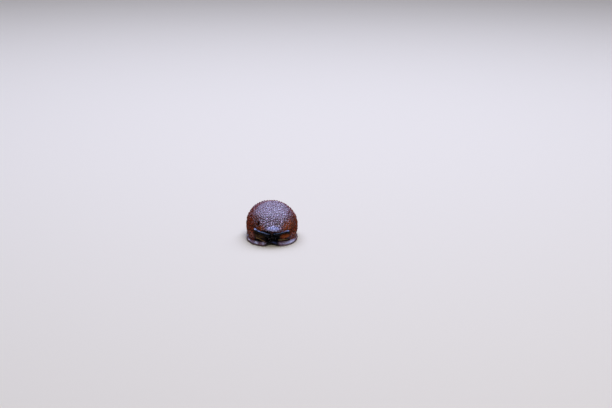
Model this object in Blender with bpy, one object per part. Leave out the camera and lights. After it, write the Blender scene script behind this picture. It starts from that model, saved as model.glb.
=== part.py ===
"""A large red-brown garden slug drawn up into a dome, life size, as a still display model.

It faces -Y, its tail is towards +Y, +Z is up, and the origin is on the floor under its middle.
The flesh is one dome. Most pieces are lumps of that dome: their points are found along rays from
its core, or straight back from its face. Each piece is cut clear of the one that lies over it.
"""

import math
import random

import bmesh
import bpy
from mathutils import Matrix, Vector

MM = 0.001

# The whole animal, drawn up.
FOOT_LENGTH = 43.0 * MM
FOOT_WIDTH = 30.0 * MM
GAP = 0.3 * MM

# The dome of flesh: its core, and how far it reaches each way from there. It is squarish in plan
# and below the core, and rounder above it, where the crown leans a little to the slug's right.
CORE = Vector((0.0, 3.6 * MM, 7.5 * MM))
DOME_SIDE = 14.45 * MM
DOME_FRONT = 22.8 * MM
DOME_BACK = 16.9 * MM
DOME_UP = 12.9 * MM
DOME_DOWN = 11.0 * MM
SQUARENESS = 2.4
CROWN_SQUARENESS = 1.95
LEAN = 0.7 * MM
TAIL_DROOP = 0.22
DROOP_START = 9.0 * MM
DROOP_LENGTH = 12.0 * MM

# The foot: a flat sole with a frilled margin, notched and arched up at the front.
FOOT_TOP = 2.0 * MM
FOOT_SQUARENESS = 2.3
FOOT_STEPS = 112
FRILL_DEPTH = 0.14 * MM
WAVE_DEPTH = 0.16 * MM
WAVE_COUNT = 9
WAVE_START = 0.8
NOTCH_DEPTH = 3.4 * MM
NOTCH_HALF_WIDTH = 2.9 * MM
NOTCH_REACH = 6.0 * MM
ARCH_RISE = 1.0 * MM
ARCH_HALF_WIDTH = 3.2 * MM
ARCH_REACH = 2.4 * MM
# From the sole round to the top: inset in mm, share of the height, of the wave and of the frill.
FOOT_SECTION = (
    (2.6, 0.0, 0.0, 0.0),
    (1.3, 0.0, 0.0, 0.0),
    (0.5, 0.08, 0.0, 0.6),
    (0.08, 0.3, 0.3, 1.0),
    (0.0, 0.55, 0.7, 1.0),
    (0.22, 0.8, 1.0, 0.8),
    (0.75, 0.97, 1.0, 0.4),
    (1.5, 1.0, 0.0, 0.0),
    (2.6, 1.0, 0.0, 0.0),
)

# The back's tubercles: long bumps in rows that run from under the mantle to the tail, like bricks.
NET_COLUMNS = 120
NET_ROWS = 68
COLUMNS_PER_TUBERCLE = 3
ROWS_PER_TUBERCLE = 4
TUBERCLE_HEIGHT = 0.5 * MM
TUBERCLE_PROFILE = (0.0, 0.85, 1.0, 0.85)
TUBERCLE_UNEVENNESS = 0.2
FULL_SIZE_TURN = 0.5
ROWS_SLOPE = math.radians(-30.0)
BODY_BOTTOM = FOOT_TOP + GAP
TAIL_CUT = 11.0 * MM
TAIL_PIT_SIZE = Vector((1.3, 1.6, 1.5)) * MM
TAIL_PIT_AT = Vector((0.0, 20.6, 5.0)) * MM

# The mantle: a shield over the front and top, slipped a little to the slug's left.
MANTLE_TILT = math.radians(43.5)
MANTLE_ROLL = math.radians(8.0)
MANTLE_END_ANGLE = math.radians(41.5)
MANTLE_SIDE_ANGLE = math.radians(5.0)
MANTLE_SLIP_ANGLE = math.radians(5.0)
PORE_LOBE_ANGLE = math.radians(10.5)
PORE_LOBE_AROUND = math.radians(-129.0)
PORE_LOBE_WIDTH = math.radians(21.0)
LIP_LIFT_ANGLE = math.radians(2.5)
LIP_LIFT_WIDTH = math.radians(20.0)
MANTLE_RAISED = 0.6 * MM
MANTLE_THICKNESS = 1.5 * MM
MANTLE_CENTRE_THICKNESS = 2.1 * MM
MANTLE_STEPS = 64
MANTLE_OUTER_SHARES = (0.1, 0.22, 0.34, 0.46, 0.57, 0.67, 0.76, 0.84, 0.9)
MANTLE_ROLL_ANGLES = (90.0, 55.0, 20.0, -15.0, -50.0, -90.0)
MANTLE_INNER_SHARES = (0.84, 0.7, 0.5, 0.25)
EDGE_SHARE = 0.955
EDGE_REACH = 15.0 * MM

# The mantle's lip over the face, and the breathing pore on the slug's right.
FRONT_AROUND = math.radians(-90.0)
LIP_FLARE = 0.5 * MM
LIP_FLARE_TURN = 0.95
LIP_FLARE_START = 0.55
LIP_LOBE = 0.5 * MM
LIP_LOBE_TURN = 0.3
LIP_LOBE_LENGTH = 0.14
PORE_OUT = -7.7 * MM
PORE_HEIGHT = 12.1 * MM
PORE_SIZE = Vector((0.8, 1.3, 1.25)) * MM
PORE_LEAN = math.radians(35.0)

# The face under the mantle's lip: the head in the middle, and a side of the neck each way.
FACE_HALF_WIDTH = 10.3 * MM
FACE_BACK = -10.5 * MM
FACE_TOP = 10.6 * MM
HEAD_HALF_WIDTH = 2.85 * MM
HEAD_RECESS = 2.1 * MM
HEAD_ROUNDING = 0.6 * MM
PLEAT_PITCH = 0.82 * MM
PLEAT_DEPTH = 0.16 * MM
PLEAT_FADE = 0.8 * MM
MOUTH_HEIGHT = 3.1 * MM
MOUTH_DROOP = 0.08
MOUTH_DEPTH = 0.55 * MM
MOUTH_OPENING = 0.3 * MM
MOUTH_HALF_WIDTH = 1.7 * MM
LIPS_POUT = 0.35 * MM
LIPS_HEIGHT = 0.9 * MM
CHEEK_RECESS = 2.5 * MM
CHEEK_BORDER = 3.5 * MM
CHEEK_BULGE = 1.9 * MM
CHEEK_CENTRE = Vector((7.1, 0.0, 5.0)) * MM
CHEEK_RADII = Vector((3.0, 0.0, 1.55)) * MM
CHEEK_SLOPE = 0.1
FOLD_HEIGHT = 3.0 * MM
FOLD_THICKNESS = 0.7 * MM
FOLD_BULGE = 0.7 * MM

# The tentacles: distance out from the middle, height, and how far ahead of the dome's face, in mm.
UPPER_PATHS = {
    "left": ((1.4, 5.4, -2.65), (2.6, 6.45, -0.85), (4.7, 7.5, 0.35), (6.8, 7.95, 0.6), (8.7, 7.95, 0.5)),
    "right": ((1.4, 5.4, -2.65), (2.6, 6.1, -0.85), (4.9, 7.2, 0.2), (7.2, 7.95, 0.5), (9.3, 8.7, 0.5)),
}
UPPER_ROOT_RADIUS = 0.95 * MM
UPPER_WAIST_RADIUS = 0.84 * MM
UPPER_KNOB_RADIUS = 1.0 * MM
LOWER_PATH = ((1.2, 3.5, -3.6), (1.4, 3.5, -2.6), (1.7, 3.45, -1.7))
LOWER_ROOT_RADIUS = 0.5 * MM
LOWER_KNOB_RADIUS = 0.6 * MM
TUBE_SIDES = 10
TUBE_STEPS = 14
TIP_ANGLES = (0.0, 35.0, 65.0)

rng = random.Random(7)


def clear_scene():
    for item in list(bpy.data.objects):
        bpy.data.objects.remove(item, do_unlink=True)


def smooth(value):
    """0 below 0, 1 above 1, and an even ease between them."""
    value = min(max(value, 0.0), 1.0)
    return value * value * (3.0 - 2.0 * value)


def bell(value):
    return math.exp(-value * value)


def turn_between(angle, other):
    """The turn from one angle to another, at most half a turn either way."""
    return (angle - other + math.pi) % (2.0 * math.pi) - math.pi


def flesh_material(name, colour, roughness):
    material = bpy.data.materials.new(name)
    material.use_nodes = True
    shader = material.node_tree.nodes["Principled BSDF"]
    shader.inputs["Base Color"].default_value = (*colour, 1.0)
    shader.inputs["Roughness"].default_value = roughness
    shader.inputs["Metallic"].default_value = 0.0
    return material


def link(name, bm, material=None):
    """Makes a named object of a bmesh, faces pointing out. Without a material it is a cutter."""
    bmesh.ops.recalc_face_normals(bm, faces=bm.faces)
    mesh = bpy.data.meshes.new(name)
    bm.to_mesh(mesh)
    bm.free()
    item = bpy.data.objects.new(name, mesh)
    bpy.context.scene.collection.objects.link(item)
    if material:
        mesh.materials.append(material)
        mesh.shade_smooth()
    else:
        item.hide_render = True
        item.display_type = "WIRE"
    return item


def cut(item, *cutters):
    for cutter in cutters:
        boolean = item.modifiers.new(cutter.name, "BOOLEAN")
        boolean.operation = "DIFFERENCE"
        boolean.object = cutter


def skin_rings(bm, rings):
    """Joins rings of points, each as long as the next, by quads."""
    rows = [[bm.verts.new(point) for point in ring] for ring in rings]
    for row, following in zip(rows, rows[1:]):
        for i in range(len(row)):
            j = (i + 1) % len(row)
            bm.faces.new((row[i], row[j], following[j], following[i]))
    return rows


def fan(bm, row, tip_at):
    tip = bm.verts.new(tip_at)
    for i in range(len(row)):
        bm.faces.new((row[i], row[(i + 1) % len(row)], tip))


def upward(height):
    """How far the dome reaches above or below its core at that height, and how square it is there."""
    return (DOME_UP, CROWN_SQUARENESS) if height > CORE.z else (DOME_DOWN, SQUARENESS)


def dome_reach(direction):
    """How far the plain dome lies from its core in a direction."""
    lengthwise = DOME_FRONT if direction.y < 0.0 else DOME_BACK
    upright, squareness = upward(CORE.z + direction.z)
    level = abs(direction.x / DOME_SIDE) ** SQUARENESS + abs(direction.y / lengthwise) ** SQUARENESS
    total = level ** (squareness / SQUARENESS) + abs(direction.z / upright) ** squareness
    return total ** (-1.0 / squareness)


def on_dome(direction, raised=0.0):
    """The point that lies that far outside the dome, along a ray from its core."""
    direction = direction.normalized()
    point = CORE + direction * (dome_reach(direction) + raised)
    point.z *= 1.0 - TAIL_DROOP * smooth((point.y - DROOP_START) / DROOP_LENGTH)
    point.x -= LEAN * smooth((point.z - CORE.z) / DOME_UP)
    return point


def face_front(x, z):
    """Where the plain dome's face is, straight ahead of a place beside the middle plane."""
    upright, squareness = upward(z)
    level = max(1.0 - abs((z - CORE.z) / upright) ** squareness, 0.0)
    left = level ** (SQUARENESS / squareness) - abs(x / DOME_SIDE) ** SQUARENESS
    return CORE.y - DOME_FRONT * max(left, 0.0) ** (1.0 / SQUARENESS)


def foot_outline(step, inset, wave_share):
    """One point of the foot's margin, moved in by the inset, and how far it is lifted there.

    In front the margin is drawn in and arched up, so it is clear of the floor there.
    """
    angle = 2.0 * math.pi * step / FOOT_STEPS
    across = math.copysign(abs(math.cos(angle)) ** (2.0 / FOOT_SQUARENESS), math.cos(angle))
    along = math.copysign(abs(math.sin(angle)) ** (2.0 / FOOT_SQUARENESS), math.sin(angle))
    x = (FOOT_WIDTH / 2.0 - inset) * across
    y = (FOOT_LENGTH / 2.0 - inset) * along
    lift = WAVE_DEPTH * wave_share * math.sin(WAVE_COUNT * angle + WAVE_START)
    if along < 0.0:
        lift += ARCH_RISE * bell(x / ARCH_HALF_WIDTH) * smooth(2.0 - 2.0 * inset / ARCH_REACH)
        y += NOTCH_DEPTH * bell(x / NOTCH_HALF_WIDTH) * (1.0 - inset / NOTCH_REACH)
    return x, y, lift


def make_foot(material):
    """The sole and its margin: a stack of outlines, each moved in and up along the rolled edge."""
    bm = bmesh.new()
    rings = []
    for inset, height_share, wave_share, frill_share in FOOT_SECTION:
        ring = []
        for step in range(FOOT_STEPS):
            groove = FRILL_DEPTH * frill_share * (step % 2)
            x, y, lift = foot_outline(step, inset * MM + groove, wave_share)
            ring.append((x, y, FOOT_TOP * height_share + lift))
        rings.append(ring)
    rows = skin_rings(bm, rings)
    bm.faces.new(rows[0][::-1])
    bm.faces.new(rows[-1])
    return link("foot", bm, material)


def tubercle_lift(column, row):
    """How far one corner of the back's net stands out: high along a tubercle, low between them."""
    if column % COLUMNS_PER_TUBERCLE == 0:
        return 0.0
    shift = ROWS_PER_TUBERCLE // 2 * (column // COLUMNS_PER_TUBERCLE % 2)
    share = TUBERCLE_PROFILE[(row + shift) % ROWS_PER_TUBERCLE]
    return TUBERCLE_HEIGHT * share * (1.0 - TUBERCLE_UNEVENNESS * rng.random())


def fold_along_valleys(bm, lifts):
    """Splits each square of the back's net across its two lower corners, so that tubercles end."""
    bm.verts.index_update()
    for face in bm.faces[:]:
        a, b, c, d = face.verts
        lower = lifts[a.index] + lifts[c.index] < lifts[b.index] + lifts[d.index]
        bmesh.utils.face_split(face, *((a, c) if lower else (b, d)))


def make_back(name, material, keep_from, keep_to):
    """The dome with its tubercles, between two planes across it and above the foot."""
    bm = bmesh.new()
    rings = []
    lifts = []
    slope = Matrix.Rotation(ROWS_SLOPE, 3, "X")
    tailward = Vector((0.0, 1.0, 0.0))
    rng.seed(7)
    for row in range(1, NET_ROWS):
        turn = math.pi * row / NET_ROWS
        size = min(math.sin(turn) / FULL_SIZE_TURN, 1.0)
        ring = []
        for column in range(NET_COLUMNS):
            around = 2.0 * math.pi * column / NET_COLUMNS
            across = Vector((math.cos(around), 0.0, math.sin(around)))
            direction = slope @ (across * math.sin(turn) + tailward * math.cos(turn))
            lift = size * tubercle_lift(column, row)
            ring.append(on_dome(direction, lift))
            lifts.append(lift)
        rings.append(ring)
    rows = skin_rings(bm, rings)
    fold_along_valleys(bm, lifts)
    fan(bm, rows[0][::-1], on_dome(slope @ tailward))
    fan(bm, rows[-1], on_dome(slope @ -tailward))
    bmesh.ops.recalc_face_normals(bm, faces=bm.faces)
    planes = (
        (Vector((0.0, 0.0, BODY_BOTTOM)), Vector((0.0, 0.0, -1.0))),
        (Vector((0.0, keep_from, 0.0)), Vector((0.0, -1.0, 0.0))),
        (Vector((0.0, keep_to, 0.0)), Vector((0.0, 1.0, 0.0))),
    )
    for place, outward in planes:
        everything = bm.verts[:] + bm.edges[:] + bm.faces[:]
        sliced = bmesh.ops.bisect_plane(
            bm, geom=everything, plane_co=place, plane_no=outward, dist=1e-7, clear_outer=True
        )
        rim = [piece for piece in sliced["geom_cut"] if isinstance(piece, bmesh.types.BMEdge)]
        if rim:
            bmesh.ops.contextual_create(bm, geom=rim)
    return link(name, bm, material)


def mantle_direction(share, around):
    """A ray from the core to a place on the shield: share 0 is its middle and 1 its edge."""
    roll = Matrix.Rotation(MANTLE_ROLL, 3, "Y")
    middle = roll @ Vector((0.0, -math.cos(MANTLE_TILT), math.sin(MANTLE_TILT)))
    sideways = roll @ Vector((1.0, 0.0, 0.0))
    backward = middle.cross(sideways)
    towards_side = math.cos(around)
    edge = MANTLE_END_ANGLE + MANTLE_SIDE_ANGLE * towards_side**4 + MANTLE_SLIP_ANGLE * towards_side
    edge += PORE_LOBE_ANGLE * bell(turn_between(around, PORE_LOBE_AROUND) / PORE_LOBE_WIDTH)
    edge -= LIP_LIFT_ANGLE * bell(turn_between(around, FRONT_AROUND) / LIP_LIFT_WIDTH)
    spread = share * edge
    outward = sideways * math.cos(around) + backward * math.sin(around)
    return middle * math.cos(spread) + outward * math.sin(spread)


def lip_lift(share, around):
    """How the lip over the face flares, with a fuller lobe in its middle."""
    from_front = turn_between(around, FRONT_AROUND)
    along = (share - LIP_FLARE_START) / (EDGE_SHARE - LIP_FLARE_START)
    flare = bell(from_front / LIP_FLARE_TURN) * smooth(along)
    lobe = bell(from_front / LIP_LOBE_TURN) * bell((share - EDGE_SHARE) / LIP_LOBE_LENGTH)
    return LIP_FLARE * flare + LIP_LOBE * lobe


def make_mantle(name, grown, material=None):
    """The shield as a lens-like shell with a rolled edge, or the same a little larger, as a cutter."""
    centre = MANTLE_RAISED - MANTLE_THICKNESS / 2.0
    half = MANTLE_THICKNESS / 2.0 + grown
    thicker = MANTLE_CENTRE_THICKNESS - MANTLE_THICKNESS
    section = [(share, centre + half) for share in MANTLE_OUTER_SHARES]
    for degrees in MANTLE_ROLL_ANGLES:
        angle = math.radians(degrees)
        section.append((EDGE_SHARE + half * math.cos(angle) / EDGE_REACH, centre + half * math.sin(angle)))
    for share in MANTLE_INNER_SHARES:
        section.append((share, centre - half - thicker * smooth((EDGE_SHARE - share) / 0.4)))
    rings = []
    for share, raised in section:
        ring = []
        for step in range(MANTLE_STEPS):
            around = 2.0 * math.pi * step / MANTLE_STEPS
            ring.append(on_dome(mantle_direction(share, around), raised + lip_lift(share, around)))
        rings.append(ring)
    bm = bmesh.new()
    rows = skin_rings(bm, rings)
    fan(bm, rows[0][::-1], on_dome(mantle_direction(0.0, 0.0), centre + half))
    fan(bm, rows[-1], on_dome(mantle_direction(0.0, 0.0), centre - half - thicker))
    return link(name, bm, material)


def make_pit(name, place, size, lean):
    """A cutter for a blind hollow: a ball pulled out to the sizes and leaned sideways."""
    bm = bmesh.new()
    bmesh.ops.create_uvsphere(bm, u_segments=12, v_segments=8, radius=1.0)
    bmesh.ops.scale(bm, vec=size, verts=bm.verts)
    bmesh.ops.rotate(bm, matrix=Matrix.Rotation(lean, 3, "Y"), verts=bm.verts)
    bmesh.ops.translate(bm, vec=place, verts=bm.verts)
    return link(name, bm)


def make_block(name, x_range, columns, rows, front, material):
    """A lump of the face: a grid laid on its relief, and its border drawn back to a flat end."""
    low_x, high_x = x_range
    bm = bmesh.new()
    bmesh.ops.create_grid(bm, x_segments=columns, y_segments=rows, size=0.5)
    for vertex in bm.verts:
        x = low_x + (high_x - low_x) * (vertex.co.x + 0.5)
        z = BODY_BOTTOM + (FACE_TOP - BODY_BOTTOM) * (vertex.co.y + 0.5)
        vertex.co = Vector((x, front(x, z), z))
    border = [edge for edge in bm.edges if edge.is_boundary]
    drawn = bmesh.ops.extrude_edge_only(bm, edges=border)["geom"]
    for vertex in (piece for piece in drawn if isinstance(piece, bmesh.types.BMVert)):
        vertex.co.y = FACE_BACK
    end = [piece for piece in drawn if isinstance(piece, bmesh.types.BMEdge) and piece.is_boundary]
    bmesh.ops.contextual_create(bm, geom=end)
    return link(name, bm, material)


def cheek_relief(x, z):
    """The side of the neck: an almond bulge in a hollow, over a low fold, level with the flank outside."""
    hollow = CHEEK_RECESS * smooth((FACE_HALF_WIDTH - abs(x)) / CHEEK_BORDER)
    across = abs(x) - CHEEK_CENTRE.x
    up = z - CHEEK_CENTRE.z - CHEEK_SLOPE * across
    bulge = CHEEK_BULGE * bell(math.hypot(across / CHEEK_RADII.x, up / CHEEK_RADII.z))
    fold = FOLD_BULGE * bell((z - FOLD_HEIGHT) / FOLD_THICKNESS)
    return face_front(x, z) + hollow - bulge - fold


def head_relief(x, z):
    """The drawn-in head: upright pleats, and a mouth with a lip above and below it."""
    pleat = PLEAT_DEPTH * math.cos(2.0 * math.pi * x / PLEAT_PITCH) * smooth((z - MOUTH_HEIGHT) / PLEAT_FADE)
    above = z - MOUTH_HEIGHT + MOUTH_DROOP * x * x / MM
    sideways = bell(x / MOUTH_HALF_WIDTH)
    slit = MOUTH_DEPTH * bell(above / MOUTH_OPENING) * sideways
    lips = LIPS_POUT * bell(above / LIPS_HEIGHT) * sideways
    rounding = HEAD_ROUNDING * (x / HEAD_HALF_WIDTH) ** 2
    return face_front(x, z) + HEAD_RECESS + rounding + slit - lips + pleat


def make_face_cutter():
    """What the torso gives up to the head and the two sides of the neck."""
    bm = bmesh.new()
    bmesh.ops.create_cube(bm, size=1.0)
    size = Vector((2.0 * (FACE_HALF_WIDTH + GAP), DOME_FRONT, 2.0 * (FACE_TOP + GAP)))
    bmesh.ops.scale(bm, vec=size, verts=bm.verts)
    bmesh.ops.translate(bm, vec=(0.0, FACE_BACK + GAP - DOME_FRONT / 2.0, 0.0), verts=bm.verts)
    return link("cutter_face", bm)


def smooth_path(points, steps):
    """Points along one smooth curve through the given ones, ends included."""
    padded = [points[0] * 2.0 - points[1], *points, points[-1] * 2.0 - points[-2]]
    path = []
    for step in range(steps + 1):
        at = step / steps * (len(points) - 1)
        i = min(int(at), len(points) - 2)
        t = at - i
        a, b, c, d = padded[i : i + 4]
        bend = (a * 2.0 - b * 5.0 + c * 4.0 - d) * t * t + (b * 3.0 - a - c * 3.0 + d) * t**3
        path.append((b * 2.0 + (c - a) * t + bend) * 0.5)
    return path


def make_tentacle(name, side, route, radius_at, grown, material=None):
    """A tapering tube along its route, with a flat root and a rounded knob at its tip."""
    points = []
    for out, height, ahead in route:
        x = out * MM
        z = height * MM
        points.append(Vector((side * x, face_front(x, z) - ahead * MM, z)))
    path = smooth_path(points, TUBE_STEPS)
    spots = [(place, radius_at(i / TUBE_STEPS) + grown) for i, place in enumerate(path[:-1])]
    tip_way = (path[-1] - path[-2]).normalized()
    knob = radius_at(1.0) + grown
    for degrees in TIP_ANGLES:
        angle = math.radians(degrees)
        spots.append((path[-1] + tip_way * knob * math.sin(angle), knob * math.cos(angle)))
    if grown:
        spots[0] = (spots[0][0] - (path[1] - path[0]).normalized() * grown, spots[0][1])
    rings = []
    for i, (place, radius) in enumerate(spots):
        ahead = (spots[min(i + 1, len(spots) - 1)][0] - spots[max(i - 1, 0)][0]).normalized()
        first = ahead.cross(Vector((0.0, 0.0, 1.0))).normalized()
        second = ahead.cross(first)
        turns = [2.0 * math.pi * corner / TUBE_SIDES for corner in range(TUBE_SIDES)]
        rings.append([place + (first * math.cos(turn) + second * math.sin(turn)) * radius for turn in turns])
    bm = bmesh.new()
    rows = skin_rings(bm, rings)
    bm.faces.new(rows[0][::-1])
    fan(bm, rows[-1], path[-1] + tip_way * knob)
    return link(name, bm, material)


def upper_radius(share):
    waist = UPPER_ROOT_RADIUS + (UPPER_WAIST_RADIUS - UPPER_ROOT_RADIUS) * smooth(share / 0.6)
    return waist + (UPPER_KNOB_RADIUS - UPPER_WAIST_RADIUS) * smooth((share - 0.7) / 0.25)


def lower_radius(share):
    return LOWER_ROOT_RADIUS + (LOWER_KNOB_RADIUS - LOWER_ROOT_RADIUS) * smooth(share)


def build():
    clear_scene()
    back_skin = flesh_material("back_skin", (0.1, 0.023, 0.012), 0.35)
    mantle_skin = flesh_material("mantle_skin", (0.1, 0.035, 0.024), 0.3)
    head_skin = flesh_material("head_skin", (0.012, 0.012, 0.018), 0.3)
    neck_skin = flesh_material("neck_skin", (0.06, 0.018, 0.01), 0.25)
    foot_skin = flesh_material("foot_skin", (0.2, 0.11, 0.085), 0.35)

    make_foot(foot_skin)
    torso = make_back("torso", back_skin, -FOOT_LENGTH, TAIL_CUT - GAP / 2.0)
    tail = make_back("tail", back_skin, TAIL_CUT + GAP / 2.0, FOOT_LENGTH)
    cut(tail, make_pit("cutter_tail_pit", TAIL_PIT_AT, TAIL_PIT_SIZE, 0.0))

    mantle = make_mantle("mantle", 0.0, mantle_skin)
    pore_at = Vector((PORE_OUT, face_front(PORE_OUT, PORE_HEIGHT) - MANTLE_RAISED, PORE_HEIGHT))
    cut(mantle, make_pit("cutter_pore", pore_at, PORE_SIZE, PORE_LEAN))
    mantle_room = make_mantle("cutter_mantle", GAP)
    cut(torso, mantle_room, make_face_cutter())

    head_range = (-HEAD_HALF_WIDTH, HEAD_HALF_WIDTH)
    head = make_block("head", head_range, 14, 18, head_relief, head_skin)
    cut(head, mantle_room)
    for side_name, side in (("left", 1.0), ("right", -1.0)):
        edges = sorted((side * (HEAD_HALF_WIDTH + GAP), side * FACE_HALF_WIDTH))
        neck = make_block(f"neck_{side_name}", edges, 14, 16, cheek_relief, neck_skin)
        upper = (side, UPPER_PATHS[side_name], upper_radius)
        tentacle = make_tentacle(f"upper_tentacle_{side_name}", *upper, 0.0, head_skin)
        cut(tentacle, mantle_room)
        upper_room = make_tentacle(f"cutter_upper_{side_name}", *upper, GAP)
        lower = (side, LOWER_PATH, lower_radius)
        make_tentacle(f"lower_tentacle_{side_name}", *lower, 0.0, head_skin)
        lower_room = make_tentacle(f"cutter_lower_{side_name}", *lower, GAP)
        cut(neck, mantle_room, upper_room)
        cut(head, upper_room, lower_room)


build()
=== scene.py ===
import math

import bmesh
import bpy
import numpy as np
from mathutils import Matrix, Quaternion, Vector, noise


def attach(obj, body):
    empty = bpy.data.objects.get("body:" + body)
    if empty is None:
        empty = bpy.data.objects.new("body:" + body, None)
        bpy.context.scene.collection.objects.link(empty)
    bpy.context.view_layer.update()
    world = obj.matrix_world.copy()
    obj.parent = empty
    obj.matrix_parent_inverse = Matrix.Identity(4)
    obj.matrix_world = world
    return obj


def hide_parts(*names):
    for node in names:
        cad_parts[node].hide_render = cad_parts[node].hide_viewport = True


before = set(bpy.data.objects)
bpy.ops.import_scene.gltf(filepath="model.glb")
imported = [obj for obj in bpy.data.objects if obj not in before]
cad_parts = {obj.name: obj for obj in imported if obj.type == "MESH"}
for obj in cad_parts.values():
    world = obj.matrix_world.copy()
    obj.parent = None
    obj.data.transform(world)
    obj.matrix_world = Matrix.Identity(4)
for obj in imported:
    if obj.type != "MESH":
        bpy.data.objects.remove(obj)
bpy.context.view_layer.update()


# The flesh: back, tail, neck, head, tentacles and foot, one soft wet skin over muscle. It is made
# as a ball pressed onto the drawn-up dome, a lofted foot and four drawn-in tentacles, fused by a
# fine remesh, then worked over with tubercles, wrinkles, pleats and the lines of the foot's margin.
MM = 0.001

# The core is the dome's middle. From there the dome reaches as far as DOME_LOW says to the right,
# ahead and down, and as far as DOME_HIGH says to the left, back and up.
CORE = np.array((0.0, 3.6, 7.5))
DOME_LOW = np.array((14.45, 22.8, 11.0))
DOME_HIGH = np.array((14.45, 16.9, 12.9))
SQUARENESS = 2.4
CROWN_SQUARENESS = 1.95
LEAN = 0.7
TAIL_DROOP = 0.22
DROOP_START = 9.0
DROOP_LENGTH = 12.0

# The shield's place on the dome. Its edge is given as angles at the core, and bearings run round
# its middle from the slug's left over the back.
MANTLE_TILT = math.radians(43.5)
MANTLE_ROLL = math.radians(8.0)
MANTLE_END_ANGLE = math.radians(41.5)
MANTLE_SIDE_ANGLE = math.radians(5.0)
MANTLE_SLIP_ANGLE = math.radians(5.0)
PORE_LOBE_ANGLE = math.radians(10.5)
PORE_LOBE_AROUND = math.radians(-129.0)
PORE_LOBE_WIDTH = math.radians(21.0)
LIP_LIFT_ANGLE = math.radians(2.5)
LIP_LIFT_WIDTH = math.radians(20.0)
MANTLE_FRONT = math.radians(-90.0)


def smooth(value):
    """0 below 0, 1 above 1, and an even ease between them."""
    value = np.clip(value, 0.0, 1.0)
    return value * value * (3.0 - 2.0 * value)


def bell(value):
    return np.exp(-value * value)


def unit(ways):
    return ways / np.linalg.norm(ways, axis=1)[:, None]


def droop(along):
    return 1.0 - TAIL_DROOP * smooth((along - DROOP_START) / DROOP_LENGTH)


def lean(height):
    """How far the crown leans to the slug's right."""
    return LEAN * smooth((height - CORE[2]) / DOME_HIGH[2])


def on_dome(ways, raised):
    """Points that lie so far outside the plain dome, along rays from its core."""
    ways = unit(ways)
    shares = np.abs(ways / np.where(ways < 0.0, DOME_LOW, DOME_HIGH))
    squareness = np.where(ways[:, 2] < 0.0, SQUARENESS, CROWN_SQUARENESS)
    level = (shares[:, :2] ** SQUARENESS).sum(axis=1) ** (squareness / SQUARENESS)
    reach = (level + shares[:, 2] ** squareness) ** (-1.0 / squareness)
    points = CORE + ways * (reach + raised)[:, None]
    points[:, 2] *= droop(points[:, 1])
    points[:, 0] -= lean(points[:, 2])
    return points


def rays_to(points):
    """The rays from the core that lead to the points, with the droop and the lean taken off."""
    straight = points.copy()
    straight[:, 0] += lean(points[:, 2])
    straight[:, 2] /= droop(points[:, 1])
    return unit(straight - CORE)


def face_front(x, z):
    """Where the plain dome's face is, straight ahead of a place beside the middle plane."""
    above = z > CORE[2]
    upright = np.where(above, DOME_HIGH[2], DOME_LOW[2])
    squareness = np.where(above, CROWN_SQUARENESS, SQUARENESS)
    level = np.maximum(1.0 - np.abs((z - CORE[2]) / upright) ** squareness, 0.0)
    left = level ** (SQUARENESS / squareness) - np.abs(x / DOME_LOW[0]) ** SQUARENESS
    return CORE[1] - DOME_LOW[1] * np.maximum(left, 0.0) ** (1.0 / SQUARENESS)


mantle_roll = Matrix.Rotation(MANTLE_ROLL, 3, "Y")
mantle_middle = mantle_roll @ Vector((0.0, -math.cos(MANTLE_TILT), math.sin(MANTLE_TILT)))
mantle_sideways = mantle_roll @ Vector((1.0, 0.0, 0.0))
mantle_axes = np.array((mantle_middle, mantle_sideways, mantle_middle.cross(mantle_sideways)))


def turn_from(start, around):
    """The turn from one bearing to others, between minus and plus half a turn."""
    return (around - start + math.pi) % (2.0 * math.pi) - math.pi


def mantle_edge(around):
    """The angle at the core from the shield's middle to its edge, all the way round."""
    sideways = np.cos(around)
    edge = MANTLE_END_ANGLE + MANTLE_SIDE_ANGLE * sideways**4 + MANTLE_SLIP_ANGLE * sideways
    lobe = PORE_LOBE_ANGLE * bell(turn_from(PORE_LOBE_AROUND, around) / PORE_LOBE_WIDTH)
    return edge + lobe - LIP_LIFT_ANGLE * bell(turn_from(MANTLE_FRONT, around) / LIP_LIFT_WIDTH)


def mantle_place(ways):
    """Where rays cross the shield: the share of the way from middle to edge, and the bearing."""
    ahead, sideways, backward = mantle_axes @ ways.T
    around = np.arctan2(backward, sideways)
    return np.arccos(np.clip(ahead, -1.0, 1.0)) / mantle_edge(around), around


# The face under the mantle's lip: a drawn-in head with the mouth, and beside it a cheek and a low
# fold on each side, above a skirt that reaches the foot. The mouth's slit has a depth and a half
# height, and its lips have a swell and a half height.
FACE_HALF_WIDTH = 10.3
FACE_TOP = 10.3
FACE_TOP_FADE = 1.2
HEAD_HALF_WIDTH = 2.95
HEAD_EDGE = 0.3
HEAD_RECESS = 2.1
HEAD_ROUNDING = 0.6
NECK_GROOVE = 0.4
NECK_GROOVE_WIDTH = 0.35
CHEEK_RECESS = 2.5
CHEEK_BORDER = 3.5
CHEEK_BULGE = 1.9
CHEEK_PLACE = (7.1, 5.0)
CHEEK_RADII = (3.0, 1.55)
CHEEK_SLOPE = 0.1
FOLD_HEIGHT = 3.0
FOLD_THICKNESS = 0.7
FOLD_BULGE = 0.7
FOLD_OVERLAP = 0.8
FOLD_FADE = 2.0
SKIRT_HEIGHT = 3.4
SKIRT_SLOPE = 2.2
SKIRT_FADE = 4.0
SKIRT_REACH = 2.6
MOUTH_HEIGHT = 3.1
MOUTH_DROOP = 0.08
MOUTH_HALF_WIDTH = 1.7
MOUTH_SLIT = (0.55, 0.3)
MOUTH_LIPS = (0.35, 0.9)


def from_cheek(out, z):
    """How far a place is from the middle of the almond-shaped cheek, where its radii count 1."""
    across, up = out - CHEEK_PLACE[0], z - CHEEK_PLACE[1] - CHEEK_SLOPE * (out - CHEEK_PLACE[0])
    return np.hypot(across / CHEEK_RADII[0], up / CHEEK_RADII[1])


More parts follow.
